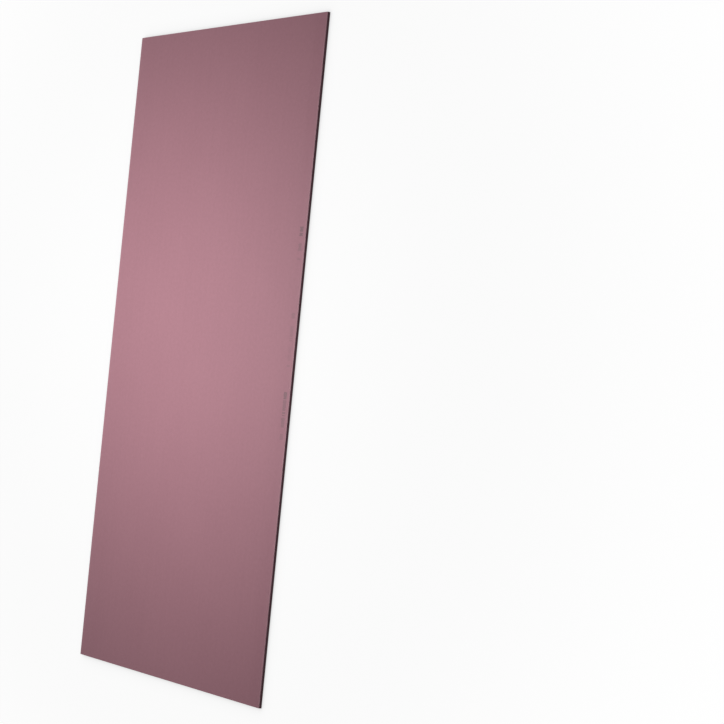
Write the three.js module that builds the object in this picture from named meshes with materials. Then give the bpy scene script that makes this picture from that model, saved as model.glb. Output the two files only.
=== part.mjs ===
// A fire-rated plasterboard (drywall) sheet with tapered long edges.
//
// The board is a slab of gypsum bonded between two paper liners. The face paper covers the front, goes round
// both long edges and is turned a little way onto the back. The back paper covers the rest of the back and
// laps over those two flaps. Both short ends are cut square, so the gypsum and the papers show there.
//
// Units are millimetres. X runs across the board, Y along it and Z up through its thickness. The board lies on
// its back, with the origin at the centre of the back paper's underside.

import * as THREE from "three";

// Overall size of the board.
const BOARD_LENGTH = 2400;
const BOARD_WIDTH = 1200;
const BOARD_THICKNESS = 12.5;

// Paper liners.
const FACE_PAPER_THICKNESS = 0.35;
const BACK_PAPER_THICKNESS = 0.3;

// The face falls away towards each long edge, so that a taped joint finishes flush.
const TAPER_WIDTH = 60;
const TAPER_DEPTH = 1.2;
const TAPER_BLEND = 18; // length over which the flat face eases into the slope

// The face paper's two folds at a long edge, measured on its outside, and the flap it leaves on the back.
const FRONT_FOLD_RADIUS = 1.6;
const BACK_FOLD_RADIUS = 1.1;
const FLAP_WIDTH = 32; // from the long edge to the end of the flap
const BACK_PAPER_INSET = 18; // from the long edge to the edge of the back paper

// Steps in each curved stretch of the section.
const BLEND_STEPS = 6;
const FRONT_FOLD_STEPS = 8;
const BACK_FOLD_STEPS = 6;

const HALF_WIDTH = BOARD_WIDTH / 2;
const QUARTER_TURN = Math.PI / 2;

// Points of an arc from one angle to another, both ends included. Angles run anticlockwise from +X.
function arcPoints(centreX, centreZ, radius, fromAngle, toAngle, steps) {
  const clockwise = toAngle < fromAngle;
  return new THREE.EllipseCurve(centreX, centreZ, radius, radius, fromAngle, toAngle, clockwise).getPoints(steps);
}

// Right half of the face paper's path, from the middle of the face out to the long edge, round it and back in
// along the flap. An inset of 0 gives the paper's outside, and the paper's thickness gives its inside.
function rightHalfPath(inset) {
  const slope = Math.atan(TAPER_DEPTH / TAPER_WIDTH);
  const faceZ = BOARD_THICKNESS - inset;
  const breakX = HALF_WIDTH - TAPER_WIDTH - inset * Math.tan(slope / 2);
  const slopeHeight = (x) => faceZ - (x - breakX) * Math.tan(slope);

  const blend = new THREE.QuadraticBezierCurve(
    new THREE.Vector2(breakX - TAPER_BLEND / 2, faceZ),
    new THREE.Vector2(breakX, faceZ),
    new THREE.Vector2(breakX + TAPER_BLEND / 2, slopeHeight(breakX + TAPER_BLEND / 2)),
  ).getPoints(BLEND_STEPS);

  // The front fold touches both the slope and the upright edge.
  const frontX = HALF_WIDTH - FRONT_FOLD_RADIUS;
  const frontRadius = FRONT_FOLD_RADIUS - inset;
  const frontZ = slopeHeight(frontX) - frontRadius / Math.cos(slope);
  const frontFold = arcPoints(frontX, frontZ, frontRadius, QUARTER_TURN - slope, 0, FRONT_FOLD_STEPS);

  // The back fold touches the upright edge and the flap, whose outside lies level with the back paper's inside.
  const backX = HALF_WIDTH - BACK_FOLD_RADIUS;
  const backZ = BACK_PAPER_THICKNESS + BACK_FOLD_RADIUS;
  const backFold = arcPoints(backX, backZ, BACK_FOLD_RADIUS - inset, 0, -QUARTER_TURN, BACK_FOLD_STEPS);

  const flapEnd = new THREE.Vector2(HALF_WIDTH - FLAP_WIDTH, BACK_PAPER_THICKNESS + inset);
  return [...blend, ...frontFold, ...backFold, flapEnd];
}

// The whole path, from the left flap's end over the face to the right flap's end.
function facePaperPath(inset) {
  const right = rightHalfPath(inset);
  const left = right.map((point) => new THREE.Vector2(-point.x, point.y)).reverse();
  return [...left, ...right];
}

// A section drawn in X and Z, extruded over the board's length and centred on the origin along Y.
function boardLengthSolid(name, sectionPoints, material) {
  const geometry = new THREE.ExtrudeGeometry(new THREE.Shape(sectionPoints), {
    depth: BOARD_LENGTH,
    bevelEnabled: false,
    steps: 1,
  });
  const mesh = new THREE.Mesh(geometry, material);
  mesh.name = name;
  mesh.rotation.x = QUARTER_TURN;
  mesh.position.y = BOARD_LENGTH / 2;
  return mesh;
}

// Gypsum slab: it fills the face paper's fold and comes down to the back paper between the two flaps.
function gypsumCore() {
  const section = [
    ...facePaperPath(FACE_PAPER_THICKNESS),
    new THREE.Vector2(HALF_WIDTH - FLAP_WIDTH, BACK_PAPER_THICKNESS),
    new THREE.Vector2(FLAP_WIDTH - HALF_WIDTH, BACK_PAPER_THICKNESS),
  ];
  const gypsum = new THREE.MeshStandardMaterial({ color: 0xc5c2b9, roughness: 0.95, metalness: 0 });
  return boardLengthSolid("gypsum_core", section, gypsum);
}

// Face paper: one sheet over the front, round both long edges and onto the back.
function facePaper() {
  const section = [...facePaperPath(0), ...facePaperPath(FACE_PAPER_THICKNESS).reverse()];
  const pinkPaper = new THREE.MeshStandardMaterial({ color: 0xb37d8a, roughness: 0.6, metalness: 0 });
  return boardLengthSolid("face_paper", section, pinkPaper);
}

// Back paper: a flat sheet glued to the gypsum and to the outside of both flaps.
function backPaper() {
  const edgeX = HALF_WIDTH - BACK_PAPER_INSET;
  const section = [
    new THREE.Vector2(-edgeX, 0),
    new THREE.Vector2(edgeX, 0),
    new THREE.Vector2(edgeX, BACK_PAPER_THICKNESS),
    new THREE.Vector2(-edgeX, BACK_PAPER_THICKNESS),
  ];
  const brownPaper = new THREE.MeshStandardMaterial({ color: 0x9b8e7c, roughness: 0.8, metalness: 0 });
  return boardLengthSolid("back_paper", section, brownPaper);
}

const drywallSheet = new THREE.Group();
drywallSheet.name = "drywall_sheet";
drywallSheet.add(gypsumCore(), facePaper(), backPaper());

export default drywallSheet;
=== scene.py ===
"""A fire-rated drywall sheet, dressed for a studio picture.

The sheet lies on its back. It is a laminate of three pieces: a gypsum slab, a pink face liner that
goes round both long edges and is turned onto the back, and a brown-grey back liner that laps over the
two turned-in flaps. Both ends are cut square, so the gypsum shows there between the papers.

X runs across the sheet, Y along it and Z up through its thickness. All sizes are in metres.
"""

import logging
import math
from abc import ABC, abstractmethod
from collections.abc import Callable, Iterable, Iterator, Mapping, Sequence
from contextlib import contextmanager
from dataclasses import dataclass, replace
from enum import Enum
from functools import partial, reduce

import bmesh
import bpy
from mathutils import Matrix, Vector


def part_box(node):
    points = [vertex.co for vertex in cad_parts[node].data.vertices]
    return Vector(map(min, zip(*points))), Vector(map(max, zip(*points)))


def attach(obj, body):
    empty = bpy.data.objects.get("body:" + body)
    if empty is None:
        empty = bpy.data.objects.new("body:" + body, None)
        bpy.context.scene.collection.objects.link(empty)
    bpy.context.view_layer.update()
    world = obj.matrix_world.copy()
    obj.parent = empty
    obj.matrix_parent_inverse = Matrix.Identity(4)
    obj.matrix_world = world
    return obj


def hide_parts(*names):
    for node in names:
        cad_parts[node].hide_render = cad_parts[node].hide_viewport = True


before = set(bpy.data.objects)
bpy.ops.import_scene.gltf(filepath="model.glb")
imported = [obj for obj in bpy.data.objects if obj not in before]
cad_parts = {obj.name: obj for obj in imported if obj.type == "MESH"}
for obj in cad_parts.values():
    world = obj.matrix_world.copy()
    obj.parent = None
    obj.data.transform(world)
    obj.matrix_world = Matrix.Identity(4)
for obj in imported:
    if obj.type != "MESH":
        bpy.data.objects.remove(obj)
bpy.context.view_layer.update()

BODY = "root"
MILLIMETRE = 0.001
QUARTER_TURN = math.pi / 2
NEAR_ENOUGH = 1e-5  # two places closer than this are the same place
CUT_TOLERANCE = 1e-7  # a cut that comes this close to a vertex goes through it
TEXTURE_MAP = "OFBake"  # the UV map that a piece's finish is baked through when it is made a texture
COVERED_MAP_SHARE = 0.06  # share of that map's height for the faces that other pieces cover

Colour = tuple[float, float, float]
Place = tuple[float, float, float]
MapSpot = tuple[float, float]
Face = bpy.types.MeshPolygon
Socket = bpy.types.NodeSocket
Inputs = Mapping[str, object]

log = logging.getLogger("drywall_sheet")


class CutEnd(Enum):
    """One of the two square-cut ends, with its side along Y."""

    NEAR = -1
    FAR = 1


class LongEdge(Enum):
    """One of the two paper-bound long edges, with its side along X."""

    LEFT = -1
    RIGHT = 1


# --------------------------------------------------------------------------------------------------
# Sizes that the pieces share
# --------------------------------------------------------------------------------------------------


@dataclass(frozen=True)
class Bend:
    """A stretch of the right half's section that follows an arc, on the face liner's outside.

    Attributes:
        x: Place of the arc's centre across the board.
        z: Height of the arc's centre.
        radius: The arc's radius.
        start: Angle of the way out of the board where the arc starts, anticlockwise from X.
        end: Angle of the way out of the board where the arc ends.
    """

    x: float
    z: float
    radius: float
    start: float
    end: float


@dataclass(frozen=True)
class BoardSizes:
    """Sizes of the board's section and length, taken from the frame where it holds them.

    Attributes:
        half_width: Distance of the long edges from the centreline.
        half_length: Distance of the cut ends from the middle.
        face_height: Height of the face.
        flap_height: Height of the flaps' outside, which the back liner lies on.
        face_paper: Thickness of the face liner.
        back_paper: Thickness of the back liner.
        back_half_width: Distance of the back liner's edges from the centreline.
        taper_width: Width of the tapered strip along each long edge.
        taper_depth: How far the face falls away over that strip.
        taper_blend: Length over which the flat face eases into the taper.
        front_fold_radius: Outside radius of the face liner's fold at the front.
        back_fold_radius: Outside radius of its fold at the back.
        flap_width: Distance from a long edge to the end of its flap.
    """

    half_width: float
    half_length: float
    face_height: float
    flap_height: float
    face_paper: float
    back_paper: float
    back_half_width: float
    taper_width: float = 60 * MILLIMETRE
    taper_depth: float = 1.2 * MILLIMETRE
    taper_blend: float = 18 * MILLIMETRE
    front_fold_radius: float = 1.6 * MILLIMETRE
    back_fold_radius: float = 1.1 * MILLIMETRE
    flap_width: float = 32 * MILLIMETRE

    @classmethod
    def from_frame(cls) -> "BoardSizes":
        """Reads the overall sizes from the fixed frame.

        Returns:
            The board's sizes.
        """
        face_low, face_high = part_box("face_paper")
        core_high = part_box("gypsum_core")[1]
        back_low, back_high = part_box("back_paper")
        return cls(
            half_width=face_high.x,
            half_length=face_high.y,
            face_height=face_high.z,
            flap_height=face_low.z,
            face_paper=face_high.z - core_high.z,
            back_paper=back_high.z - back_low.z,
            back_half_width=back_high.x,
        )

    @property
    def slope(self) -> float:
        """Angle of the tapered strips below the flat face."""
        return math.atan(self.taper_depth / self.taper_width)

    @property
    def taper_break(self) -> float:
        """Distance of the taper's start from the centreline."""
        return self.half_width - self.taper_width

    @property
    def taper_bend(self) -> Bend:
        """Works out the bend that eases the flat face into the taper.

        Returns:
            The bend.
        """
        radius = self.taper_blend / 2 / math.tan(self.slope / 2)
        x = self.taper_break - self.taper_blend / 2
        return Bend(x, self.face_height - radius, radius, QUARTER_TURN, QUARTER_TURN - self.slope)

    @property
    def front_fold(self) -> Bend:
        """Works out the fold at the front, whose arc touches the taper and the upright edge.

        Returns:
            The fold.
        """
        radius = self.front_fold_radius
        x = self.half_width - radius
        slope_height = self.face_height - (x - self.taper_break) * math.tan(self.slope)
        return Bend(x, slope_height - radius / math.cos(self.slope), radius, QUARTER_TURN - self.slope, 0.0)

    @property
    def back_fold(self) -> Bend:
        """The fold at the back, whose arc touches the upright edge and the flap."""
        radius = self.back_fold_radius
        return Bend(self.half_width - radius, self.flap_height + radius, radius, 0.0, -QUARTER_TURN)

    @property
    def bends(self) -> tuple[Bend, Bend, Bend]:
        """The bends of the right half's section, from the face round to the back."""
        return self.taper_bend, self.front_fold, self.back_fold


# --------------------------------------------------------------------------------------------------
# Modelling
# --------------------------------------------------------------------------------------------------


@dataclass(frozen=True)
class Relief:
    """A cloudy relief that goes from 0 to its depth.

    Attributes:
        name: What the relief is.
        size: Size of its features.
        depth: How far it reaches.
        flat_below: Share of the pattern's range below which the surface stays flat.
        full_above: Share of the pattern's range above which the relief has its full depth.
    """

    name: str
    size: float
    depth: float
    flat_below: float = 0.3
    full_above: float = 0.7

    def texture(self) -> bpy.types.Texture:
        """Makes the procedural texture that a Displace modifier reads.

        Returns:
            The texture, black where the surface stays flat and white at full depth.
        """
        texture = bpy.data.textures.new(self.name, "CLOUDS")
        texture.noise_scale = self.size
        texture.use_color_ramp = True
        flat, full = texture.color_ramp.elements
        flat.position = self.flat_below
        flat.color = (0, 0, 0, 1)
        full.position = self.full_above
        full.color = (1, 1, 1, 1)
        return texture


@dataclass(frozen=True)
class MapStrip:
    """A level strip of a texture map.

    Attributes:
        low: Where it starts, as a share of the map's height.
        high: Where it ends.
        gap: Room left inside its border, as a share of the map's side.
    """

    low: float
    high: float
    gap: float = 0.0015

    def spot(self, along: float, up: float) -> MapSpot:
        """Finds the spot on the map that lies so far along the strip and up it, each from 0 to 1."""
        room = self.high - self.low
        return self.gap + (1 - 2 * self.gap) * along, self.low + self.gap + (room - 2 * self.gap) * up


class Bench:
    """A piece being modelled: its parts are picked by place and worked with Blender's own mesh tools."""

    def __init__(self, name: str) -> None:
        """Takes the primitive that was just added as the piece.

        Args:
            name: The piece's name.
        """
        self.piece: bpy.types.Object = bpy.context.active_object
        self.piece.name = name
        self.piece.data.name = name

    @classmethod
    def grid(
        cls, name: str, cells: tuple[int, int], size: tuple[float, float], at: Place, turn: Place
    ) -> "Bench":
        """Adds a flat grid at its size and place.

        Args:
            name: The piece's name.
            cells: Cells along its first and second side.
            size: Length of its first and second side.
            at: Its centre.
            turn: Its rotation about X, Y and Z, in radians.

        Returns:
            The bench that holds the grid.
        """
        bpy.ops.object.select_all(action="DESELECT")
        bpy.ops.mesh.primitive_grid_add(
            x_subdivisions=cells[0],
            y_subdivisions=cells[1],
            size=1,
            calc_uvs=False,
            location=at,
            rotation=turn,
        )
        bench = cls(name)
        bench.piece.scale = (*size, 1)
        bpy.ops.object.transform_apply(location=True, rotation=True, scale=True)
        return bench

    def dress(self, *materials: bpy.types.Material) -> None:
        """Gives the piece its materials, in the order of its slots. What there is of it takes the first."""
        for material in materials:
            self.piece.data.materials.append(material)

    def take(self) -> None:
        """Selects the piece alone and makes it the active one."""
        bpy.ops.object.select_all(action="DESELECT")
        self.piece.select_set(True)
        bpy.context.view_layer.objects.active = self.piece

    @contextmanager
    def editing(self) -> Iterator[None]:
        """Opens the piece in edit mode with nothing selected, and closes it when the block ends.

        Yields:
            Nothing, while the piece is open.
        """
        self.take()
        bpy.ops.object.mode_set(mode="EDIT")
        bpy.ops.mesh.select_all(action="DESELECT")
        yield
        bpy.ops.object.mode_set(mode="OBJECT")

    def pick_edges(self, wanted: Callable[[Vector, Vector], bool]) -> int:
        """Selects the edges that pass a test, and nothing else.

        Args:
            wanted: The test of an edge's two ends.

        Returns:
            How many edges are selected.
        """
        bpy.ops.mesh.select_all(action="DESELECT")
        bpy.ops.mesh.select_mode(type="EDGE")
        mesh = bmesh.from_edit_mesh(self.piece.data)
        picked = [edge for edge in mesh.edges if wanted(edge.verts[0].co, edge.verts[1].co)]
        for edge in picked:
            edge.select_set(True)
        bmesh.update_edit_mesh(self.piece.data)
        return len(picked)

    def pick_line(self, x: float, z: float) -> None:
        """Selects the edges that run the length of the board at one place in its section.

        Args:
            x: The line's place across the board.
            z: The line's height.
        """

        def on_line(place: Vector) -> bool:
            """Tells whether a place is on the line."""
            return abs(place.x - x) < NEAR_ENOUGH and abs(place.z - z) < NEAR_ENOUGH

        self.pick_edges(lambda start, end: on_line(start) and on_line(end))

    def round_line(self, x: float, z: float, reach: float, steps: int) -> None:
        """Rounds a line that runs the length of the board, as far as the reach to each side of it."""
        self.pick_line(x, z)
        bpy.ops.mesh.bevel(offset_type="OFFSET", offset=reach, segments=steps)

    def slice(self, at: Place, normal: Place, trim: bool = False) -> None:
        """Cuts the whole piece along a plane, and on request trims off what lies on the normal's side."""
        bpy.ops.mesh.select_all(action="SELECT")
        bpy.ops.mesh.bisect(plane_co=at, plane_no=normal, clear_outer=trim, threshold=CUT_TOLERANCE)

    def refine_across(self, longest: float) -> None:
        """Halves the edges that run across the board until none is longer than a limit.

        Args:
            longest: The longest edge that may stay.
        """

        def too_long(start: Vector, end: Vector) -> bool:
            """Tells whether an edge runs across the board and is over the limit."""
            return abs(start.y - end.y) < NEAR_ENOUGH and (start - end).length > longest

        while self.pick_edges(too_long):
            bpy.ops.mesh.subdivide(number_cuts=1)

    def thicken(self, thickness: float) -> None:
        """Gives the sheet its thickness, behind its outside. Its inside and rim take the second material.

        Args:
            thickness: The paper's thickness.
        """
        wall = self.piece.modifiers.new("thickness", "SOLIDIFY")
        wall.thickness = thickness
        wall.offset = -1
        wall.use_even_offset = True
        wall.material_offset = 1
        wall.material_offset_rim = 1
        bpy.ops.object.modifier_apply(modifier=wall.name)

    def roughen_ends(self, half_length: float, reliefs: Sequence[Relief]) -> None:
        """Pushes both cut ends in by a set of reliefs.

        Args:
            half_length: Distance of the ends from the middle.
            reliefs: The reliefs, one after another.
        """
        for end in CutEnd:
            group = self.piece.vertex_groups.new(name=end.name)
            limit = half_length - NEAR_ENOUGH
            vertices = self.piece.data.vertices
            at_end = [vertex.index for vertex in vertices if vertex.co.y * end.value > limit]
            group.add(at_end, 1.0, "REPLACE")
            for relief in reliefs:
                push = self.piece.modifiers.new(relief.name, "DISPLACE")
                push.texture = relief.texture()
                push.texture_coords = "LOCAL"
                push.direction = "Y"
                push.mid_level = 0
                push.strength = -end.value * relief.depth
                push.vertex_group = end.name
                bpy.ops.object.modifier_apply(modifier=push.name)

    def map_finish(self, spot_of: Callable[[Face, Vector], MapSpot | None]) -> None:
        """Gives the piece a texture map on which nearly all the room goes to what shows of it.

        The covered faces share two narrow strips, laid out as seen from above: one for those that look
        down and one for those that look up.

        Args:
            spot_of: Finds the spot of a face's corner on the map, or None on a covered face.
        """
        mesh = self.piece.data
        width, length, _ = self.piece.dimensions
        looking_down = MapStrip(0.0, COVERED_MAP_SHARE / 2)
        looking_up = MapStrip(COVERED_MAP_SHARE / 2, COVERED_MAP_SHARE)
        spots = mesh.uv_layers.new(name=TEXTURE_MAP).uv
        for face in mesh.polygons:
            covered_strip = looking_up if face.normal.z > 0 else looking_down
            for corner in face.loop_indices:
                place = mesh.vertices[mesh.loops[corner].vertex_index].co
                from_above = covered_strip.spot(0.5 + place.y / length, 0.5 + place.x / width)
                spots[corner].vector = spot_of(face, place) or from_above

    def finish(self, smooth_below: float) -> bpy.types.Object:
        """Shades the piece and hands it over.

        Args:
            smooth_below: Edges turning less than this angle are shaded smooth, in degrees.

        Returns:
            The finished piece.
        """
        self.take()
        bpy.ops.object.shade_smooth_by_angle(angle=math.radians(smooth_below))
        return self.piece


# --------------------------------------------------------------------------------------------------
# Node trees
# --------------------------------------------------------------------------------------------------


@dataclass(frozen=True)
class Pattern:
    """Smooth noise that makes up part of a finish.

    Attributes:
        size: Size of its features, one for all axes or one for each.
        detail: Octaves of finer noise.
    """

    size: float | Place
    detail: float = 2.0


@dataclass(frozen=True)
class Strands:
    """Short strands that cross each other.

    Attributes:
        size: Size of a strand along X, Y and Z, before it is turned.
        turns: Each layer's turn about X, Y and Z, in degrees.
        edge: Share of the pattern's range where a strand starts and where it is full.
        detail: Octaves of finer noise.
    """

    size: Place
    turns: tuple[Place, ...]
    edge: tuple[float, float]
    detail: float = 1.0


@dataclass(frozen=True)
class Spots:
    """Scattered spots of all sizes up to a largest one, none of them quite round.

    Attributes:
        cell: Size of the cells that may each hold a spot.
        largest: The largest spot's radius, as a share of a cell.
        share: Share of the cells that hold one.
        core: Share of a spot's radius within which it has its full strength.
    """

    cell: float
    largest: float
    share: float
    core: float = 0.6


class Nodes:
    """A node tree, with short calls for the nodes that the finishes and the studio are made of."""

    def __init__(self, tree: bpy.types.NodeTree) -> None:
        """Takes the tree that the calls add to."""
        self.tree = tree

    def add(self, kind: str, inputs: Inputs | None = None, **settings: object) -> bpy.types.Node:
        """Adds a node.

        Args:
            kind: The node's type.
            inputs: What its inputs get, by their names.
            **settings: Properties of the node.

        Returns:
            The node.
        """
        node = self.tree.nodes.new(kind)
        for name, value in settings.items():
            setattr(node, name, value)
        self.set_inputs(node, inputs or {})
        return node

    def set_inputs(self, node: bpy.types.Node, inputs: Inputs) -> None:
        """Sets or links some of a node's inputs, given by their names."""
        self.feed((node.inputs[name] for name in inputs), inputs.values())

    def feed(self, sockets: Iterable[Socket], values: Iterable[object]) -> None:
        """Links input sockets to other sockets, or sets them to constants.

        Args:
            sockets: The input sockets.
            values: An output socket, a number or a colour for each of them, as far as they go.
        """
        for socket, value in zip(sockets, values):
            if isinstance(value, bpy.types.NodeSocket):
                self.tree.links.new(value, socket)
            else:
                socket.default_value = value

    def calc(self, operation: str, *values: object) -> Socket:
        """Works out one sum.

        Args:
            operation: The Math node's operation.
            *values: Up to three sockets or numbers that it takes.

        Returns:
            The result.
        """
        node = self.add("ShaderNodeMath", operation=operation)
        self.feed(node.inputs, values)
        return node.outputs["Value"]

    def product(self, *shares: object) -> Socket:
        """Multiplies shares with each other."""
        return reduce(partial(self.calc, "MULTIPLY"), shares)

    def largest(self, *values: object) -> Socket:
        """Takes the largest of several values."""
        return reduce(partial(self.calc, "MAXIMUM"), values)

    def weighed(self, *parts: tuple[Socket, float]) -> Socket:
        """Adds up values, each times its own weight.

        Args:
            *parts: The values with their weights.

        Returns:
            The sum.
        """
        total: object = 0.0
        for value, weight in parts:
            total = self.calc("MULTIPLY_ADD", value, weight, total)
        return total

    def spread(self, share: Socket, low: float, high: float) -> Socket:
        """Spreads a share over a range: 0 gives its low end and 1 its high end."""
        return self.calc("MULTIPLY_ADD", share, high - low, low)

    def rise(self, value: Socket, start: float, end: float) -> Socket:
        """Goes smoothly from 0 at one value to 1 at another, and is flat beyond them.

        Args:
            value: What is read.
            start: The value that gives 0, which may be the larger one.
            end: The value that gives 1.

        Returns:
            The share of the way from start to end.
        """
        inputs = {"Value": value, "From Min": start, "From Max": end}
        node = self.add("ShaderNodeMapRange", inputs, interpolation_type="SMOOTHSTEP")
        return node.outputs["Result"]

    def matt(self, grey: float) -> Socket:
        """Makes a matt surface that sends back this share of the light, from 0 to 1."""
        return self.add("ShaderNodeBsdfDiffuse", {"Color": (grey, grey, grey, 1.0)}).outputs["BSDF"]

    def blend(self, share: Socket, first: Socket, second: Socket) -> Socket:
        """Mixes two shaders.

        Args:
            share: The second one's share.
            first: The first shader.
            second: The second shader.

        Returns:
            The mixed shader.
        """
        node = self.add("ShaderNodeMixShader")
        self.feed(node.inputs, (share, first, second))
        return node.outputs["Shader"]

    def seen_directly(self) -> Socket:
        """Gives 1 for rays that the camera sees, also mirrored or through glass, and 0 for other light."""
        rays = self.add("ShaderNodeLightPath").outputs
        return self.largest(rays["Is Camera Ray"], rays["Is Glossy Ray"], rays["Is Transmission Ray"])


class Shader(Nodes):
    """A material with one Principled shader, whose patterns lie at the piece's own places."""

    def __init__(self, name: str) -> None:
        """Starts the material.

        Args:
            name: The material's name.
        """
        self.material = bpy.data.materials.new(name)
        self.material.use_nodes = True
        super().__init__(self.material.node_tree)
        self.surface = self.tree.nodes["Principled BSDF"]
        self.places = self.add("ShaderNodeTexCoord").outputs["Object"]

    def paint(self, colour: Socket, roughness: object, gloss: float) -> bpy.types.Material:
        """Gives the surface its colour and sheen.

        Args:
            colour: Its colour.
            roughness: Its roughness, as a socket or a number.
            gloss: Its specular level.

        Returns:
            The finished material.
        """
        inputs = {"Base Color": colour, "Roughness": roughness, "Specular IOR Level": gloss}
        self.set_inputs(self.surface, inputs)
        return self.material

    def relief(self, *layers: tuple[Socket, float]) -> None:
        """Turns the surface's normal by layers of relief.

        Args:
            *layers: Each layer's height, from 0 to 1, and its depth. The last one lies deepest.
        """
        outer = self.surface
        for height, depth in layers:
            bump = self.add("ShaderNodeBump", {"Distance": depth, "Height": height})
            self.set_inputs(outer, {"Normal": bump.outputs["Normal"]})
            outer = bump

    def axes(self) -> Sequence[Socket]:
        """Splits the places into the ones across the board, along it and up through it."""
        return self.add("ShaderNodeSeparateXYZ", {"Vector": self.places}).outputs[:]

    def noise(self, pattern: Pattern, turn: Place = (0.0, 0.0, 0.0)) -> Socket:
        """Makes smooth noise.

        Args:
            pattern: Its size and detail.
            turn: Its turn about X, Y and Z, in degrees.

        Returns:
            The noise, from 0 to 1.
        """
        size = pattern.size if isinstance(pattern.size, tuple) else (pattern.size,) * 3
        angles = tuple(math.radians(angle) for angle in turn)
        inputs = {"Vector": self.places, "Rotation": angles, "Scale": size}
        fitted = self.add("ShaderNodeMapping", inputs, vector_type="TEXTURE").outputs["Vector"]
        inputs = {"Vector": fitted, "Scale": 1.0, "Detail": pattern.detail}
        return self.add("ShaderNodeTexNoise", inputs).outputs["Fac"]

    def strands(self, strands: Strands) -> Socket:
        """Lays short strands across each other.

        Args:
            strands: The strands.

        Returns:
            1 on a strand and 0 beside it.
        """
        pattern = Pattern(strands.size, strands.detail)
        layers = (self.rise(self.noise(pattern, turn), *strands.edge) for turn in strands.turns)
        return self.largest(*layers)

    def wandering(self, size: float, reach: float) -> Socket:
        """Pushes the places about, so that a pattern read there loses its even outline.

        Args:
            size: Size of the pushes.
            reach: How far a place moves at most.

        Returns:
            The moved places.
        """
        noise = self.add("ShaderNodeTexNoise", {"Vector": self.places, "Scale": 1 / size})
        push = self.add("ShaderNodeVectorMath", operation="MULTIPLY_ADD")
        self.feed(push.inputs, (noise.outputs["Color"], (2 * reach,) * 3, self.places))
        return push.outputs["Vector"]

    def scatter(self, spots: Spots, places: Socket) -> Socket:
        """Scatters spots.

        Args:
            spots: The spots.
            places: Where their pattern is read.

        Returns:
            1 in the middle of a spot and 0 off it.
        """
        inputs = {"Vector": places, "Scale": 1 / spots.cell}
        cells = self.add("ShaderNodeTexVoronoi", inputs, feature="F1")
        dice = self.add("ShaderNodeSeparateColor", {"Color": cells.outputs["Color"]})
        chosen = self.calc("LESS_THAN", dice.outputs["Red"], spots.share)
        radius = self.calc("MULTIPLY", dice.outputs["Green"], spots.largest)
        inside = self.rise(self.calc("DIVIDE", cells.outputs["Distance"], radius), 1.0, spots.core)
        return self.product(inside, chosen)

    def tones(self, share: Socket, colours: tuple[Colour, Colour, Colour], contrast: float) -> Socket:
        """Colours a pattern in three tones.

        Args:
            share: The pattern, which keeps near the middle of its range from 0 to 1.
            colours: The dark, the usual and the light tone.
            contrast: How far from the middle the dark and the light tone are reached.

        Returns:
            The colour.
        """
        middle = 0.5
        node = self.add("ShaderNodeValToRGB", {"Fac": share})
        node.color_ramp.elements.new(middle)
        stops = (middle - contrast, middle, middle + contrast)
        for element, stop, colour in zip(node.color_ramp.elements, stops, colours):
            element.position = stop
            element.color = (*colour, 1.0)
        return node.outputs["Color"]

    def lay(self, under: Socket, over: Colour, share: Socket) -> Socket:
        """Lays one colour over another.

        Args:
            under: The colour below.
            over: The colour laid on it.
            share: How much of it covers, from 0 to 1.

        Returns:
            The mixed colour.
        """
        node = self.add("ShaderNodeMix", data_type="RGBA")
        used = (socket for socket in node.inputs if socket.enabled)
        self.feed(used, (share, under, (*over, 1.0)))
        return next(socket for socket in node.outputs if socket.enabled)


# --------------------------------------------------------------------------------------------------
# Finishes
# --------------------------------------------------------------------------------------------------


class Mark(ABC):
    """Something on a liner that shows in a colour of its own."""

    colour: Colour

    @abstractmethod
    def mask(self, shader: Shader) -> Socket:
        """Finds how much of the paper the mark covers at each place, from 0 to 1."""


@dataclass(frozen=True)
class InkRun:
    """A run of printed bars along the sheet.

    Attributes:
        start: Distance of its start from the far end.
        end: Distance of its end from the far end.
        strength: How dark it is, from 0 to 1.
    """

    start: float
    end: float
    strength: float


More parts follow.
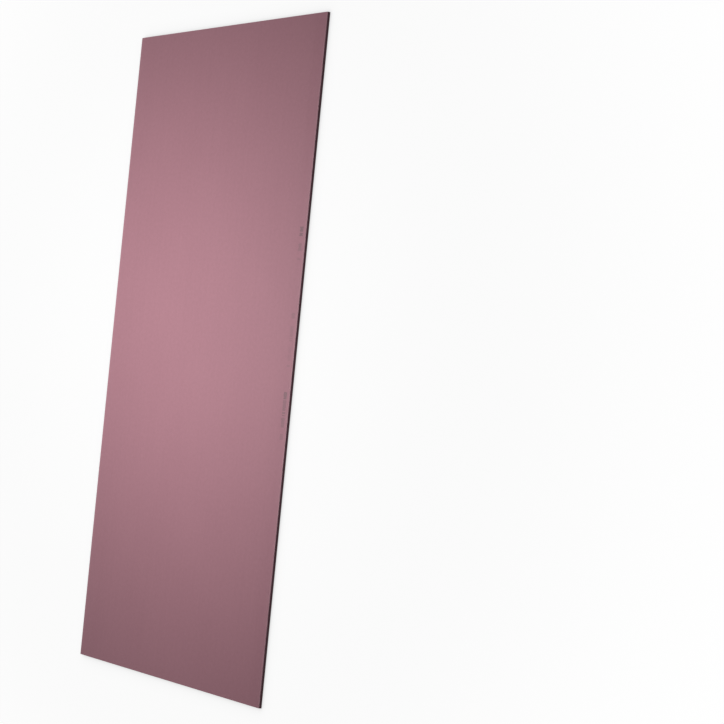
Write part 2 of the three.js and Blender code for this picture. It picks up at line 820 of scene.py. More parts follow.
@dataclass(frozen=True)
class InkLine(Mark):
    """A line of plain printed bars beside a long edge, worn thin along its length. It spells nothing.

    Attributes:
        sizes: The board's sizes.
        colour: The ink's colour.
        edge: The long edge that it runs beside.
        from_edge: Distance of the line's middle from that edge.
        height: Height of the tallest bars, across the sheet.
        shortest: Height of the shortest bars, as a share of the tallest.
        pitch: Distance from one bar to the next.
        bar: Width of a bar, as a share of the pitch.
        blanks: Share of the bars that are left out.
        dots: The dots that the dry ink breaks into.
        dot_edge: Share of the dots' range where the ink starts and where it covers fully.
        runs: The runs of bars.
    """

    sizes: BoardSizes
    colour: Colour = (0.100, 0.102, 0.108)
    edge: LongEdge = LongEdge.RIGHT
    from_edge: float = 26 * MILLIMETRE
    height: float = 22 * MILLIMETRE
    shortest: float = 0.65
    pitch: float = 3.6 * MILLIMETRE
    bar: float = 0.70
    blanks: float = 0.05
    dots: Pattern = Pattern(0.7 * MILLIMETRE, detail=1.0)
    dot_edge: tuple[float, float] = (0.22, 0.50)
    runs: tuple[InkRun, ...] = (
        InkRun(0.744, 0.777, 0.75),
        InkRun(0.802, 0.828, 0.40),
        InkRun(0.852, 0.860, 0.22),
        InkRun(1.042, 1.062, 0.28),
        InkRun(1.087, 1.141, 0.24),
        InkRun(1.159, 1.207, 0.14),
        InkRun(1.222, 1.230, 0.25),
        InkRun(1.315, 1.340, 0.72),
        InkRun(1.343, 1.398, 0.50),
        InkRun(1.404, 1.438, 0.42),
        InkRun(1.460, 1.480, 0.30),
    )

    def mask(self, shader: Shader) -> Socket:
        """Finds where the ink is.

        Args:
            shader: The liner's shader.

        Returns:
            How much of the paper it covers, from 0 to 1.
        """
        across, along, up = shader.axes()
        strength = self._strength(shader, along)
        bars = self._bars(shader, across, along)
        on_face = shader.calc("GREATER_THAN", up, self.sizes.face_height / 2)
        dots = shader.rise(shader.noise(self.dots), *self.dot_edge)
        return shader.product(strength, bars, on_face, dots)

    def _strength(self, shader: Shader, along: Socket) -> Socket:
        """Finds how strong the ink is along the sheet.

        Args:
            shader: The liner's shader.
            along: The place along the sheet.

        Returns:
            The strength, which is 0 between the runs.
        """
        far_end = self.sizes.half_length
        inside = [
            shader.calc("COMPARE", along, far_end - (run.start + run.end) / 2, (run.end - run.start) / 2)
            for run in self.runs
        ]
        return shader.weighed(*zip(inside, (run.strength for run in self.runs)))

    def _bars(self, shader: Shader, across: Socket, along: Socket) -> Socket:
        """Sets out an endless row of bars of uneven height, with some left out.

        Args:
            shader: The liner's shader.
            across: The place across the sheet.
            along: The place along the sheet.

        Returns:
            1 on a bar and 0 off it.
        """
        pitches = shader.calc("DIVIDE", along, self.pitch)
        number = shader.calc("FLOOR", pitches)
        dice = shader.add("ShaderNodeTexWhiteNoise", {"W": number}, noise_dimensions="1D")
        second_throw = shader.add("ShaderNodeSeparateColor", {"Color": dice.outputs["Color"]})
        tallest = self.height / 2
        reach = shader.spread(second_throw.outputs["Green"], self.shortest * tallest, tallest)
        middle = self.edge.value * (self.sizes.half_width - self.from_edge)
        in_row = shader.calc("COMPARE", across, middle, reach)
        on_bar = shader.calc("LESS_THAN", shader.calc("FRACT", pitches), self.bar)
        printed = shader.calc("GREATER_THAN", dice.outputs["Value"], self.blanks)
        return shader.product(in_row, on_bar, printed)


@dataclass(frozen=True)
class CreaseAndHighlight(Mark):
    """The paler line along the fold over each long edge and on the strip beside it: partly burnished paper,
    partly a painted highlight.

    Attributes:
        sizes: The board's sizes.
        colour: Colour of the stretched fibres, made paler still to paint the fold's highlight.
        strength: How much it shows on the fold.
        reach: How far it fades from the fold's middle.
        rub_and_highlight_strength: How much it shows on the face beside the fold, as pressed paper and
            painted highlight.
        rub_and_highlight_width: Distance from the long edge at which that strip has faded out.
    """

    sizes: BoardSizes
    # A lighter pink that paints the fold's highlight as well as its stretched fibres.
    colour: Colour = (0.640, 0.400, 0.450)
    strength: float = 0.7
    reach: float = 2.4 * MILLIMETRE
    rub_and_highlight_strength: float = 0.15
    rub_and_highlight_width: float = 14 * MILLIMETRE

    def mask(self, shader: Shader) -> Socket:
        """Finds where the paler folds and the strips beside them are, with their painted highlight.

        Args:
            shader: The liner's shader.

        Returns:
            How much of the paper they cover, from 0 to 1.
        """
        across, _, up = shader.axes()
        outwards = shader.calc("ABSOLUTE", across)
        bend = self.sizes.front_fold
        corner = bend.radius * math.cos(QUARTER_TURN / 2)
        side = shader.calc("SUBTRACT", outwards, bend.x + corner)
        height = shader.calc("SUBTRACT", up, bend.z + corner)
        square = shader.calc("MULTIPLY_ADD", side, side, shader.product(height, height))
        # The fold's line and the strip beside it: partly pressed paper, partly painted highlight.
        fold = shader.rise(shader.calc("SQRT", square), self.reach, 0.0)
        rub_and_highlight = shader.rise(outwards, self.sizes.half_width - self.rub_and_highlight_width, bend.x)
        on_face = shader.calc("GREATER_THAN", up, bend.z)
        return shader.largest(
            shader.product(fold, self.strength),
            shader.product(rub_and_highlight, on_face, self.rub_and_highlight_strength),
        )


@dataclass(frozen=True)
class PaperFinish:
    """Recycled-fibre liner paper: cloudy, faintly streaked along the sheet, flecked and slightly burnished.

    Attributes:
        name: The material's name.
        tones: The paper's colour where the fibre lies thick, as usual and thin.
        fleck: Colour of its dark flecks.
        fibre: Colour of its pale fibres.
        fleck_share: Share of the flecks' cells that hold one.
        fibre_strength: How much the pale fibres show.
        roughness: Lowest and highest roughness.
        gloss: Specular level.
        tooth_depth: Depth of the fibres' relief.
        clouds: The small clouds in the pulp.
        streaks: The streaks along the sheet.
        drift: The slow changes.
        weights: How much the clouds, the streaks and the drift count for in the paper's tone.
        contrast: How far from the middle the outer tones are reached.
        fibres: The pale fibres.
        fleck_cell: Size of the cells that may each hold a fleck.
        fleck_size: The largest fleck's radius, as a share of its cell.
        fleck_wander: Size and reach of the turns in a fleck's outline.
        tooth: The fibres' relief.
        cockle: The paper's shallow waves.
        cockle_share: Depth of those waves, as a share of the fibres' relief.
    """

    name: str
    tones: tuple[Colour, Colour, Colour]
    fleck: Colour
    fibre: Colour
    fleck_share: float
    fibre_strength: float
    roughness: tuple[float, float]
    gloss: float
    tooth_depth: float
    clouds: Pattern = Pattern(13.3 * MILLIMETRE, detail=4.0)
    streaks: Pattern = Pattern((16.7 * MILLIMETRE, 560 * MILLIMETRE, 16.7 * MILLIMETRE), detail=3.0)
    drift: Pattern = Pattern(330 * MILLIMETRE)
    weights: tuple[float, float, float] = (0.55, 0.18, 0.27)
    contrast: float = 0.14
    fibres: Strands = Strands(
        size=(0.67 * MILLIMETRE, 5.9 * MILLIMETRE, 0.67 * MILLIMETRE),
        turns=((0.0, 0.0, -18.0), (0.0, 0.0, 27.0), (0.0, 0.0, -74.0)),
        edge=(0.64, 0.74),
    )
    fleck_cell: float = 6 * MILLIMETRE
    fleck_size: float = 0.12
    fleck_wander: tuple[float, float] = (1.1 * MILLIMETRE, 1.0 * MILLIMETRE)
    tooth: Pattern = Pattern(0.9 * MILLIMETRE, detail=3.0)
    cockle: Pattern = Pattern(18 * MILLIMETRE)
    cockle_share: float = 1.5

    def material(self, *marks: Mark) -> bpy.types.Material:
        """Makes the paper.

        Args:
            *marks: What is laid on it, one after another.

        Returns:
            The material.
        """
        shader = Shader(self.name)
        clouds = shader.noise(self.clouds)
        parts = (clouds, shader.noise(self.streaks), shader.noise(self.drift))
        colour = shader.tones(shader.weighed(*zip(parts, self.weights)), self.tones, self.contrast)
        fibres = shader.product(shader.strands(self.fibres), self.fibre_strength)
        colour = shader.lay(colour, self.fibre, fibres)
        spots = Spots(self.fleck_cell, self.fleck_size, self.fleck_share)
        flecks = shader.scatter(spots, shader.wandering(*self.fleck_wander))
        colour = shader.lay(colour, self.fleck, flecks)
        for mark in marks:
            colour = shader.lay(colour, mark.colour, mark.mask(shader))
        tooth = (shader.noise(self.tooth), self.tooth_depth)
        cockle = (shader.noise(self.cockle), self.cockle_share * self.tooth_depth)
        shader.relief(tooth, cockle)
        return shader.paint(colour, shader.spread(clouds, *self.roughness), self.gloss)


@dataclass(frozen=True)
class GypsumFinish:
    """Cut gypsum: pale warm grey, marked by the saw, with air bubbles darkened by painted shade and short
    glass fibres.

    Attributes:
        name: The material's name.
        tones: The gypsum's colour in its dull, usual and powdery patches.
        bubble_shade: Painted shade in the air bubbles' hollows.
        fibre: Colour of the glass fibres.
        bubble_shade_strength: How dark the painted shade in the bubbles is, from 0 to 1.
        fibre_strength: How much the fibres show.
        roughness: Its roughness.
        gloss: Specular level.
        patches: The dull and powdery patches.
        saw: The marks of the saw.
        weights: How much the patches and the saw marks count for in its tone.
        contrast: How far from the middle the outer tones are reached.
        bubbles: The bubbles, from pinholes to a few large ones.
        bubble_wander: Size and reach of the turns in the bubbles' outlines.
        fibres: The glass fibres.
        grain: The crystals' relief.
        bubble_depth: Depth of the bubbles' relief.
        saw_depth: Depth of the saw marks' relief.
        grain_depth: Depth of the crystals' relief.
    """

    name: str = "cut_gypsum"
    tones: tuple[Colour, Colour, Colour] = (
        (0.485, 0.466, 0.414),
        (0.560, 0.540, 0.486),
        (0.635, 0.617, 0.564),
    )
    # The darkness inside the bubbles is painted shade.
    bubble_shade: Colour = (0.220, 0.205, 0.178)
    fibre: Colour = (0.720, 0.710, 0.670)
    bubble_shade_strength: float = 0.72
    fibre_strength: float = 0.50
    roughness: float = 0.95
    gloss: float = 0.2
    patches: Pattern = Pattern(9.1 * MILLIMETRE, detail=5.0)
    saw: Pattern = Pattern((33 * MILLIMETRE, 2.5 * MILLIMETRE, 0.71 * MILLIMETRE))
    weights: tuple[float, float] = (0.7, 0.3)
    contrast: float = 0.16
    bubbles: tuple[Spots, ...] = (
        Spots(0.55 * MILLIMETRE, largest=0.42, share=0.50, core=0.2),
        Spots(1.7 * MILLIMETRE, largest=0.30, share=0.22, core=0.3),
        Spots(6.0 * MILLIMETRE, largest=0.22, share=0.20, core=0.5),
    )
    bubble_wander: tuple[float, float] = (1.4 * MILLIMETRE, 0.45 * MILLIMETRE)
    fibres: Strands = Strands(
        size=(4.2 * MILLIMETRE, 4.2 * MILLIMETRE, 0.22 * MILLIMETRE),
        turns=((0.0, 38.0, 0.0), (0.0, -14.0, 0.0), (0.0, -57.0, 0.0), (0.0, 81.0, 0.0)),
        edge=(0.72, 0.82),
        detail=0.0,
    )
    grain: Pattern = Pattern(0.38 * MILLIMETRE)
    bubble_depth: float = 0.14 * MILLIMETRE
    saw_depth: float = 0.05 * MILLIMETRE
    grain_depth: float = 0.04 * MILLIMETRE

    def material(self) -> bpy.types.Material:
        """Makes the gypsum.

        Returns:
            The material.
        """
        shader = Shader(self.name)
        saw = shader.noise(self.saw)
        parts = (shader.noise(self.patches), saw)
        colour = shader.tones(shader.weighed(*zip(parts, self.weights)), self.tones, self.contrast)
        fibres = shader.product(shader.strands(self.fibres), self.fibre_strength)
        colour = shader.lay(colour, self.fibre, fibres)
        places = shader.wandering(*self.bubble_wander)
        bubbles = shader.largest(*(shader.scatter(spots, places) for spots in self.bubbles))
        # Painted shade darkens the bubbles' hollows.
        colour = shader.lay(colour, self.bubble_shade, shader.product(bubbles, self.bubble_shade_strength))
        shader.relief(
            (shader.noise(self.grain), self.grain_depth),
            (saw, self.saw_depth),
            (shader.calc("SUBTRACT", 1.0, bubbles), self.bubble_depth),
        )
        return shader.paint(colour, self.roughness, self.gloss)


PINK_FACE = PaperFinish(
    name="pink_dyed_paper",
    tones=((0.434, 0.206, 0.249), (0.450, 0.215, 0.260), (0.466, 0.225, 0.270)),
    fleck=(0.300, 0.130, 0.165),
    fibre=(0.540, 0.290, 0.340),
    fleck_share=0.20,
    fibre_strength=0.28,
    roughness=(0.55, 0.65),
    gloss=0.25,
    tooth_depth=0.022 * MILLIMETRE,
)

BROWN_BACK = PaperFinish(
    name="brown_grey_paper",
    tones=((0.295, 0.240, 0.178), (0.330, 0.270, 0.200), (0.365, 0.303, 0.228)),
    fleck=(0.120, 0.095, 0.075),
    fibre=(0.520, 0.470, 0.390),
    fleck_share=0.45,
    fibre_strength=0.45,
    roughness=(0.72, 0.86),
    gloss=0.25,
    tooth_depth=0.035 * MILLIMETRE,
)

FACE_PLY = PaperFinish(
    name="undyed_face_ply",
    tones=((0.370, 0.278, 0.265), (0.420, 0.322, 0.307), (0.470, 0.368, 0.350)),
    fleck=(0.210, 0.155, 0.145),
    fibre=(0.580, 0.500, 0.470),
    fleck_share=0.40,
    fibre_strength=0.50,
    roughness=(0.82, 0.92),
    gloss=0.20,
    tooth_depth=0.040 * MILLIMETRE,
)

BACK_PLY = replace(
    FACE_PLY,
    name="torn_back_ply",
    tones=((0.335, 0.285, 0.228), (0.385, 0.332, 0.270), (0.435, 0.380, 0.315)),
    fleck=(0.180, 0.150, 0.120),
    fibre=(0.560, 0.520, 0.450),
)


# --------------------------------------------------------------------------------------------------
# Pieces of the board
# --------------------------------------------------------------------------------------------------


@dataclass
class GypsumSlab:
    """The cast slab. It fills the face liner's fold and comes down to the back liner between the two flaps.

    Attributes:
        sizes: The board's sizes.
        finish: The gypsum's finish.
        cell: Size of the cells on the cut ends.
        fold_steps: Flats that make up each bend of the section.
        reliefs: What roughens the cut ends.
        smooth_below: Edges turning less than this angle are shaded smooth, in degrees.
        map_strips: How many strips each cut end takes up on the texture map.
    """

    sizes: BoardSizes
    finish: GypsumFinish = GypsumFinish()
    cell: float = 0.8 * MILLIMETRE
    fold_steps: int = 6
    reliefs: tuple[Relief, ...] = (
        Relief("saw_wander", size=40 * MILLIMETRE, depth=0.25 * MILLIMETRE),
        Relief("broken_grain", size=1.8 * MILLIMETRE, depth=0.22 * MILLIMETRE),
        Relief("chips", size=4.5 * MILLIMETRE, depth=0.90 * MILLIMETRE, flat_below=0.62, full_above=0.80),
    )
    smooth_below: float = 50.0
    map_strips: int = 7

    def build(self) -> bpy.types.Object:
        """Models the slab and dresses it.

        Returns:
            The slab.
        """
        bench = self._end_face()
        bench.dress(self.finish.material())
        with bench.editing():
            for edge in LongEdge:
                self._trim_to_section(bench, edge)
            self._lower_middle(bench)
            self._run_to_far_end()
        bench.roughen_ends(self.sizes.half_length, self.reliefs)
        bench.map_finish(self._spot_on_map)
        return bench.finish(self.smooth_below)

    def _end_face(self) -> Bench:
        """Adds the near end's face as a fine upright grid, as high as the slab is over the flaps.

        Returns:
            The bench that holds it.
        """
        sizes = self.sizes
        width = 2 * (sizes.half_width - sizes.face_paper)
        low = sizes.flap_height + sizes.face_paper
        high = sizes.face_height - sizes.face_paper
        return Bench.grid(
            "gypsum_slab",
            cells=(round(width / self.cell), round((high - low) / self.cell)),
            size=(width, high - low),
            at=(0.0, -sizes.half_length, (low + high) / 2),
            turn=(QUARTER_TURN, 0.0, 0.0),
        )

    def _trim_to_section(self, bench: Bench, edge: LongEdge) -> None:
        """Cuts the taper along one side and rounds its two folds, flat by flat.

        Args:
            bench: The bench that holds the end face.
            edge: The long edge on that side.
        """
        for bend in self.sizes.bends:
            reach = bend.radius - self.sizes.face_paper
            for step in range(1, self.fold_steps + 1):
                angle = bend.start + (bend.end - bend.start) * step / self.fold_steps
                across, up = math.cos(angle), math.sin(angle)
                at = (edge.value * (bend.x + reach * across), 0.0, bend.z + reach * up)
                bench.slice(at, normal=(edge.value * across, 0.0, up), trim=True)

    def _lower_middle(self, bench: Bench) -> None:
        """Draws the end face down to the back liner between the two flaps.

        Args:
            bench: The bench that holds the end face.
        """
        sizes = self.sizes
        flap_end = sizes.half_width - sizes.flap_width
        low = sizes.flap_height + sizes.face_paper
        for edge in LongEdge:
            bench.slice((edge.value * flap_end, 0.0, 0.0), normal=(1.0, 0.0, 0.0))

        def between_flaps(place: Vector) -> bool:
            """Tells whether a place is on the lower side, between the flaps."""
            return abs(place.z - low) < NEAR_ENOUGH and abs(place.x) < flap_end + NEAR_ENOUGH

        down = (0, 0, -sizes.face_paper)
        bench.pick_edges(lambda start, end: between_flaps(start) and between_flaps(end))
        bpy.ops.mesh.extrude_region_move(TRANSFORM_OT_translate={"value": down})

    def _run_to_far_end(self) -> None:
        """Extrudes the end face over the board's length into a closed slab."""
        along = (0, 2 * self.sizes.half_length, 0)
        bpy.ops.mesh.select_all(action="SELECT")
        bpy.ops.mesh.extrude_region_move(TRANSFORM_OT_translate={"value": along})
        bpy.ops.mesh.select_all(action="SELECT")
        bpy.ops.mesh.normals_make_consistent(inside=False)

    def _spot_on_map(self, face: Face, place: Vector) -> MapSpot | None:
        """Lays both cut ends out on the texture map, as seen from outside, in strips one above another.

        Args:
            face: A face of the slab.
            place: The place of one of its corners.

        Returns:
            The corner's spot, or None on a long face.
        """
        sizes = self.sizes
        if abs(face.center.y) < sizes.half_length / 2:
            return None
        end = CutEnd.NEAR if face.center.y < 0 else CutEnd.FAR
        strip_length = 2 * sizes.half_width / self.map_strips
        strip = int((sizes.half_width - end.value * face.center.x) / strip_length)
        along = (sizes.half_width - end.value * place.x) / strip_length - strip
        up = (place.z - sizes.flap_height) / (sizes.face_height - sizes.flap_height)
        strips_below = strip if end is CutEnd.NEAR else self.map_strips + strip
        strip_height = (1 - COVERED_MAP_SHARE) / (2 * self.map_strips)
        low = COVERED_MAP_SHARE + strips_below * strip_height
        return MapStrip(low, low + strip_height).spot(along, up)


@dataclass
class PaperLiner:
    """What both liners share: a sheet drawn as its outside, made thick and cut across at both ends.

    Attributes:
        sizes: The board's sizes.
        finish: The finish of its outside.
        ply: The finish of its inside and its cut rim.
        column: Widest step across the paper.
        row: Longest step along the paper.
        cut_strip: Length of the strip at each end that the ragged cut can reach.
        ragged: The cut's unevenness.
        smooth_below: Edges turning less than this angle are shaded smooth, in degrees.
    """

    sizes: BoardSizes
    finish: PaperFinish
    ply: PaperFinish
    column: float = 0.6 * MILLIMETRE
    row: float = 400 * MILLIMETRE
    cut_strip: float = 3 * MILLIMETRE
    ragged: Relief = Relief("ragged_cut", size=1.1 * MILLIMETRE, depth=0.30 * MILLIMETRE)
    smooth_below: float = 40.0

    def complete(self, bench: Bench, thickness: float) -> bpy.types.Object:
        """Makes the drawn outside into paper with a ragged cut at both ends.

        Args:
            bench: The bench that holds the liner's outside.
            thickness: The paper's thickness.

        Returns:
            The finished liner.
        """
        half_length = self.sizes.half_length
        rows = math.ceil(2 * half_length / self.row)
        with bench.editing():
            bench.refine_across(self.column)
            for row in range(1, rows):
                bench.slice((0.0, half_length * (2 * row / rows - 1), 0.0), normal=(0.0, 1.0, 0.0))
            for end in CutEnd:
                bench.slice((0.0, end.value * (half_length - self.cut_strip), 0.0), normal=(0.0, 1.0, 0.0))
        bench.thicken(thickness)
        bench.roughen_ends(half_length, (self.ragged,))
        bench.map_finish(self._spot_on_map)
        return bench.finish(self.smooth_below)

    def _spot_on_map(self, face: Face, place: Vector) -> MapSpot | None:
        """Lays the liner's outside out on the texture map, unrolled flat and with its length level.

        Args:
            face: A face of the liner.
            place: The place of one of its corners.

        Returns:
            The corner's spot, or None inside the liner and on its rim.
        """
        if face.material_index > 0:
            return None
        along = place.y / self.sizes.half_length
        whole = MapStrip(COVERED_MAP_SHARE, 1.0)
        return whole.spot((1 + along) / 2, (1 + self._share_across(face, place)) / 2)

    def _share_across(self, face: Face, place: Vector) -> float:
        """Finds a place across a flat liner's outside, from -1 at its left edge to 1 at its right one."""
        return place.x / self.sizes.back_half_width


@dataclass
class FaceLiner(PaperLiner):
    """The pink liner: over the face, down both tapers, round the long edges and onto the back.

    Attributes:
        finish: The finish of its outside.
        ply: The finish of its inside and its cut rim.
        fold_steps: Flats that make up each bend.
    """

    finish: PaperFinish = PINK_FACE
    ply: PaperFinish = FACE_PLY
    fold_steps: int = 8

    def build(self) -> bpy.types.Object:
        """Models the liner and dresses it.

        Returns:
            The liner.
        """
        sizes = self.sizes
        bench = Bench.grid(
            "face_liner",
            cells=(1, 1),
            size=(2 * sizes.half_width, 2 * sizes.half_length),
            at=(0.0, 0.0, sizes.face_height),
            turn=(0.0, 0.0, 0.0),
        )
        bench.dress(self.finish.material(CreaseAndHighlight(sizes), InkLine(sizes)), self.ply.material())
        with bench.editing():
            for edge in LongEdge:
                self._taper(bench, edge)
                self._wrap(bench, edge)
        return self.complete(bench, sizes.face_paper)

    def _taper(self, bench: Bench, edge: LongEdge) -> None:
        """Lets the face fall away towards a long edge, with an eased start.

        Args:
            bench: The bench that holds the face.
            edge: The long edge.
        """
        sizes = self.sizes
        start = edge.value * sizes.taper_break
        bench.slice((start, 0.0, 0.0), normal=(1.0, 0.0, 0.0))
        bench.pick_line(edge.value * sizes.half_width, sizes.face_height)
        bpy.ops.transform.translate(value=(0, 0, -sizes.taper_depth))
        bench.round_line(start, sizes.face_height, sizes.taper_blend / 2, self.fold_steps)

    def _wrap(self, bench: Bench, edge: LongEdge) -> None:
        """Folds the paper down a long edge and in under the board.

        Args:
            bench: The bench that holds the tapered face.
            edge: The long edge.
        """
        sizes = self.sizes
        outside = edge.value * sizes.half_width
        front = sizes.face_height - sizes.taper_depth
        bench.pick_line(outside, front)
        down = (0, 0, sizes.flap_height - front)
        bpy.ops.mesh.extrude_region_move(TRANSFORM_OT_translate={"value": down})
        inwards = (-edge.value * sizes.flap_width, 0, 0)
        bpy.ops.mesh.extrude_region_move(TRANSFORM_OT_translate={"value": inwards})
        front_reach = sizes.front_fold_radius * math.tan((QUARTER_TURN - sizes.slope) / 2)
        bench.round_line(outside, front, front_reach, self.fold_steps)
        bench.round_line(outside, sizes.flap_height, sizes.back_fold_radius, self.fold_steps)

    def _share_across(self, face: Face, place: Vector) -> float:
        """Finds a place across the unrolled liner's outside, measured round the long edge.

        Args:
            face: A face on the outside.
            place: The place of one of its corners.

        Returns:
            The place, from -1 at the left flap's end to 1 at the right one's.
        """
        sizes = self.sizes
        outwards = abs(place.x)
        if face.normal.z < 0:
            outwards = 2 * sizes.half_width - outwards
        furthest = sizes.half_width + sizes.flap_width + sizes.face_height - sizes.flap_height
        return math.copysign((outwards + sizes.face_height - place.z) / furthest, place.x)


@dataclass
class BackLiner(PaperLiner):
    """The brown-grey liner: flat, glued to the gypsum and to the outside of both flaps.

    Attributes:
        finish: The finish of its outside.
        ply: The finish of its inside and its cut rim.
    """

    finish: PaperFinish = BROWN_BACK
    ply: PaperFinish = BACK_PLY

    def build(self) -> bpy.types.Object:
        """Models the liner and dresses it.

        Returns:
            The liner.
        """
        sizes = self.sizes
        bench = Bench.grid(
            "back_liner",
            cells=(1, 1),
            size=(2 * sizes.back_half_width, 2 * sizes.half_length),
            at=(0.0, 0.0, 0.0),
            turn=(math.pi, 0.0, 0.0),
        )
        bench.dress(self.finish.material(), self.ply.material())
        return self.complete(bench, sizes.back_paper)


# --------------------------------------------------------------------------------------------------
# Studio
# --------------------------------------------------------------------------------------------------


@dataclass(frozen=True)
class Softbox:
    """A rectangular lamp that isn't seen itself.

    Attributes:
        name: The lamp's name.
        at: Its place.
        aim: The point it faces.
        size: Its sides, level and upright or lengthwise.
        power: Its power, in watts.
        turn: Its turn about the way it faces, in degrees.
        mirrored: Whether glossy surfaces show it.
    """

    name: str
    at: Place
    aim: Place
    size: tuple[float, float]
    power: float
    turn: float = 0.0
    mirrored: bool = False

    def hang(self) -> None:
        """Adds the lamp to the scene."""
        light = bpy.data.lights.new(self.name, "AREA")
        light.shape = "RECTANGLE"
        light.size, light.size_y = self.size
        light.energy = self.power
        lamp = bpy.data.objects.new(self.name, light)
        lamp.location = self.at
        facing = (Vector(self.aim) - Vector(self.at)).to_track_quat("-Z", "Y").to_matrix()
        lamp.rotation_euler = (facing @ Matrix.Rotation(math.radians(self.turn), 3, "Z")).to_euler()
        lamp.visible_camera = False
        lamp.visible_glossy = self.mirrored
        bpy.context.scene.collection.objects.link(lamp)


@dataclass(frozen=True)
class FloorFinish:
    """Pale matt floor: nearly plain white where it is seen, with the board's cast shadow and a painted
    contact shadow, and lighting little.

    Attributes:
        name: The material's name.
        paint: Its grey where its look comes from the lamps.
        bounce: Share of the light that it sends back to the board.
        shadow_share: How much of its look comes from the lamps, and so takes their shadows.
        painted_shadow_reach: How far from the board the painted contact shadow reaches.
        painted_shadow_strength: How much that painted shadow darkens the floor.
        fade: Distances from the middle at which it starts to turn plain white and has turned.
    """

    name: str = "studio_floor"
    paint: float = 0.90
    bounce: float = 0.10
    shadow_share: float = 0.06
    painted_shadow_reach: float = 60 * MILLIMETRE
    painted_shadow_strength: float = 0.5
    fade: tuple[float, float] = (1.2, 3.0)

    def material(self) -> bpy.types.Material:
        """Makes the floor's paint.

        Returns:
            The material.
        """
        material = bpy.data.materials.new(self.name)
        material.use_nodes = True
        nodes = Nodes(material.node_tree)
        nodes.tree.nodes.remove(nodes.tree.nodes["Principled BSDF"])
        shown = nodes.blend(self._white_share(nodes), nodes.matt(self.paint), self._white_with_painted_shadow(nodes))
        surface = nodes.blend(nodes.seen_directly(), nodes.matt(self.bounce), shown)
        nodes.set_inputs(nodes.tree.nodes["Material Output"], {"Surface": surface})
        return material

    def _white_share(self, nodes: Nodes) -> Socket:
        """Finds how much of the floor's look is plain white.

        Args:
            nodes: The floor's nodes.

        Returns:
            The share, which rises to 1 far from the board.
        """
        places = nodes.add("ShaderNodeTexCoord").outputs["Object"]
        distance = nodes.add("ShaderNodeVectorMath", {"Vector": places}, operation="LENGTH")
        far = nodes.rise(distance.outputs["Value"], *self.fade)
        return nodes.spread(far, 1 - self.shadow_share, 1.0)

    def _white_with_painted_shadow(self, nodes: Nodes) -> Socket:
        """Makes plain white with a painted contact shadow close beside the board.

        Args:
            nodes: The floor's nodes.

        Returns:
            Its shader.
        """
        # The board's contact shadow is painted into the white through ambient occlusion.
        openness = nodes.add("ShaderNodeAmbientOcclusion", {"Distance": self.painted_shadow_reach})
        strength = nodes.spread(openness.outputs["AO"], 1 - self.painted_shadow_strength, 1.0)
        return nodes.add("ShaderNodeEmission", {"Strength": strength}).outputs["Emission"]


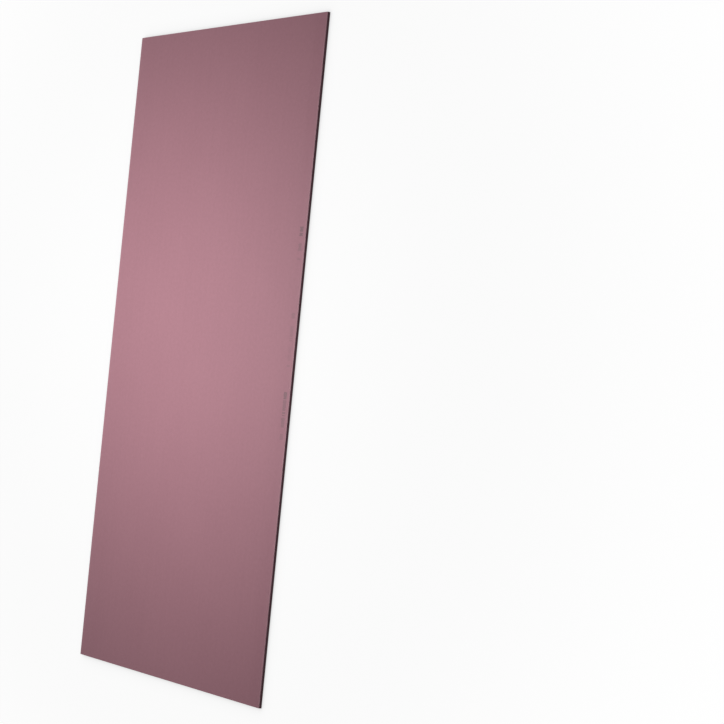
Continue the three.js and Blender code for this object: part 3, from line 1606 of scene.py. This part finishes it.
@dataclass
class Studio:
    """The floor, the lamps, the surroundings and the camera.

    Attributes:
        floor_finish: The floor's finish.
        floor_radius: Radius of the floor.
        floor_sides: Straight sides that make up its rim.
        floor_gap: How far the floor lies below the sheet.
        ambient: Strength of the even light from all sides.
        lamps: The softboxes.
        lens: The camera's focal length, in millimetres.
        sensor: The camera's sensor width, in millimetres.
        camera_at: The camera's place.
        camera_aim: The point that it looks at.
        camera_roll: Its turn about its own axis, in degrees, from where the sheet's length is upright.
        camera_sees: The nearest and farthest distance that it sees.
    """

    floor_finish: FloorFinish = FloorFinish()
    floor_radius: float = 30.0
    floor_sides: int = 128
    floor_gap: float = 0.2 * MILLIMETRE
    ambient: float = 0.05
    lamps: tuple[Softbox, ...] = (
        Softbox(
            "overhead",
            at=(-0.20, 0.125, 1.51),
            aim=(-0.20, 0.125, 0.0),
            size=(2.0, 0.8),
            power=25.9,
            turn=-16.5,
            mirrored=True,
        ),
        Softbox("left_fill", at=(-5.0, 0.0, 0.18), aim=(-0.6, 0.0, 0.0), size=(2.4, 0.3), power=105.0),
        Softbox("near_fill", at=(0.0, -6.0, 0.12), aim=(0.0, -1.2, 0.0), size=(1.2, 0.2), power=200.0),
        Softbox("far_fill", at=(0.0, 6.0, 0.12), aim=(0.0, 1.2, 0.0), size=(1.2, 0.2), power=200.0),
    )
    lens: float = 104.1
    sensor: float = 36.0
    camera_at: Place = (6.393, -0.120, 4.245)
    camera_aim: Place = (0.982, 0.007, 0.0125)
    camera_roll: float = -5.62
    camera_sees: tuple[float, float] = (0.1, 200.0)

    def build(self) -> None:
        """Sets up the whole studio."""
        self._lay_floor()
        self._light_surroundings()
        for lamp in self.lamps:
            lamp.hang()
        self._place_camera()

    def _lay_floor(self) -> None:
        """Lays a round floor far out on all sides."""
        bpy.ops.object.select_all(action="DESELECT")
        bpy.ops.mesh.primitive_circle_add(
            vertices=self.floor_sides,
            radius=self.floor_radius,
            fill_type="NGON",
            location=(0, 0, -self.floor_gap),
        )
        floor = bpy.context.active_object
        floor.name = "studio_floor"
        floor.data.materials.append(self.floor_finish.material())

    def _light_surroundings(self) -> None:
        """Fills the scene with a little even light, in front of a white background."""
        world = bpy.data.worlds.new("studio")
        world.use_nodes = True
        bpy.context.scene.world = world
        nodes = Nodes(world.node_tree)
        white = (1.0, 1.0, 1.0, 1.0)
        strength = nodes.spread(nodes.seen_directly(), self.ambient, 1.0)
        nodes.set_inputs(nodes.tree.nodes["Background"], {"Color": white, "Strength": strength})

    def _place_camera(self) -> None:
        """Looks down on the sheet from beside its right edge, with its length upright in the picture."""
        optics = bpy.data.cameras.new("camera")
        optics.sensor_width = self.sensor
        optics.lens = self.lens
        optics.clip_start, optics.clip_end = self.camera_sees
        camera = bpy.data.objects.new("camera", optics)
        place = Vector(self.camera_at)
        ahead = (Vector(self.camera_aim) - place).normalized()
        right = ahead.cross(Vector((0, 1, 0))).normalized()
        roll = Matrix.Rotation(math.radians(self.camera_roll), 3, ahead)
        turn = Matrix((roll @ right, roll @ right.cross(ahead), -ahead)).transposed()
        camera.matrix_world = Matrix.Translation(place) @ turn.to_4x4()
        bpy.context.scene.collection.objects.link(camera)
        bpy.context.scene.camera = camera


def report(piece: bpy.types.Object, node: str) -> None:
    """Ties a piece to the frame and logs it.

    Args:
        piece: The finished piece.
        node: The solid that it stands for.
    """
    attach(piece, BODY)
    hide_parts(node)
    log.info("%s: %d faces, stands for %s", piece.name, len(piece.data.polygons), node)


def main() -> None:
    """Builds the studio and the board."""
    logging.basicConfig(level=logging.INFO, format="%(name)s: %(message)s")
    bpy.context.scene.view_settings.view_transform = "Standard"
    Studio().build()
    sizes = BoardSizes.from_frame()
    report(GypsumSlab(sizes).build(), "gypsum_core")
    report(FaceLiner(sizes).build(), "face_paper")
    report(BackLiner(sizes).build(), "back_paper")


if __name__ == "__main__":
    main()
